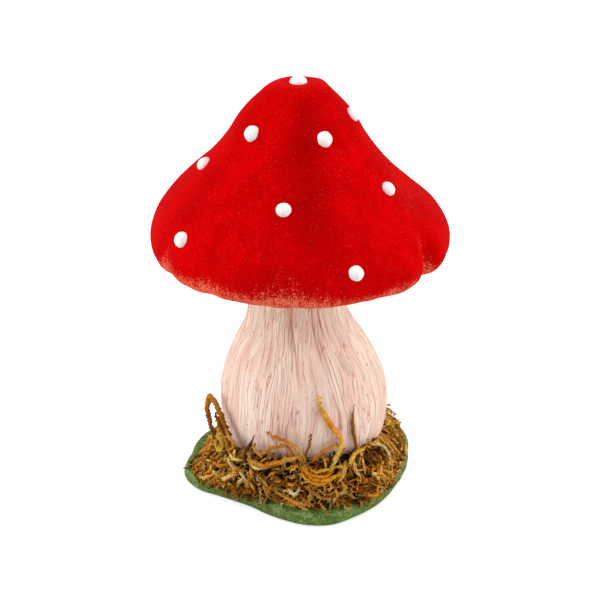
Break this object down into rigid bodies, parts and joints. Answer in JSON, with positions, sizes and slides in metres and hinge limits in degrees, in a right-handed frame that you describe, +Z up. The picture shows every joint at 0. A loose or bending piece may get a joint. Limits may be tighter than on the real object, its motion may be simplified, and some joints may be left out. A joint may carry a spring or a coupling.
{
  "type": "mushroom ornament",
  "caption": "Free-standing decorative mushroom: a dotted velvet bell cap on a paper-wrapped pear stem, set in a ring of dried moss on a lobed green base.",
  "frame": {"origin": "on the table, in the middle of the pad under the base, below the stem's foot", "axes": "+Z up through the stem, -Y towards the viewer of the picture, +X to the viewer's right"},
  "size_m": [0.1098, 0.1095, 0.1611],
  "materials": {
    "red_velvet": "cut pile velvet",
    "white_dot": "satin",
    "underside_paper": "pleated paper",
    "stem_paper": "wrinkled paper",
    "foam": "beaded foam",
    "dowel_wood": "bare",
    "glue": "translucent",
    "green_paper": "wrinkled painted paper",
    "base_board": "bare",
    "felt_pad": "felt",
    "dried_moss": "dry fibrous",
    "moss_twig": "bare"
  },
  "bodies": {
    "root": {"base_pad": "felt_pad", "base_board": "base_board", "base_green_paper": "green_paper", "stem_core": "foam", "stem_paper_wrap": "stem_paper", "stem_foot_glue": "glue", "stem_top_glue": "glue", "centre_dowel": "dowel_wood", "cap_core": "foam", "cap_velvet_cover": "red_velvet", "cap_underside_disc": "underside_paper", "white_dot_01": "white_dot", "white_dot_02": "white_dot", "white_dot_03": "white_dot", "white_dot_04": "white_dot", "white_dot_05": "white_dot", "white_dot_06": "white_dot", "white_dot_07": "white_dot", "white_dot_08": "white_dot", "white_dot_09": "white_dot", "white_dot_10": "white_dot", "white_dot_11": "white_dot", "white_dot_12": "white_dot", "white_dot_13": "white_dot", "white_dot_14": "white_dot", "white_dot_15": "white_dot", "white_dot_16": "white_dot", "white_dot_17": "white_dot", "white_dot_18": "white_dot", "moss_clump_1": "dried_moss", "moss_clump_2": "dried_moss", "moss_clump_3": "dried_moss", "moss_clump_4": "dried_moss", "moss_clump_5": "dried_moss", "moss_clump_6": "dried_moss", "moss_loop_left": "dried_moss", "moss_twig_dark": "moss_twig", "moss_arch_front": "dried_moss", "moss_strand_upper": "dried_moss", "moss_strand_front": "dried_moss", "moss_strand_straw": "dried_moss", "moss_twig_thin": "moss_twig", "moss_curl_front_right": "dried_moss", "moss_strand_right": "dried_moss", "moss_twig_right": "moss_twig", "moss_strand_back_left": "dried_moss", "moss_loop_back": "dried_moss", "moss_strand_back_right": "dried_moss"}
  },
  "joints": []
}
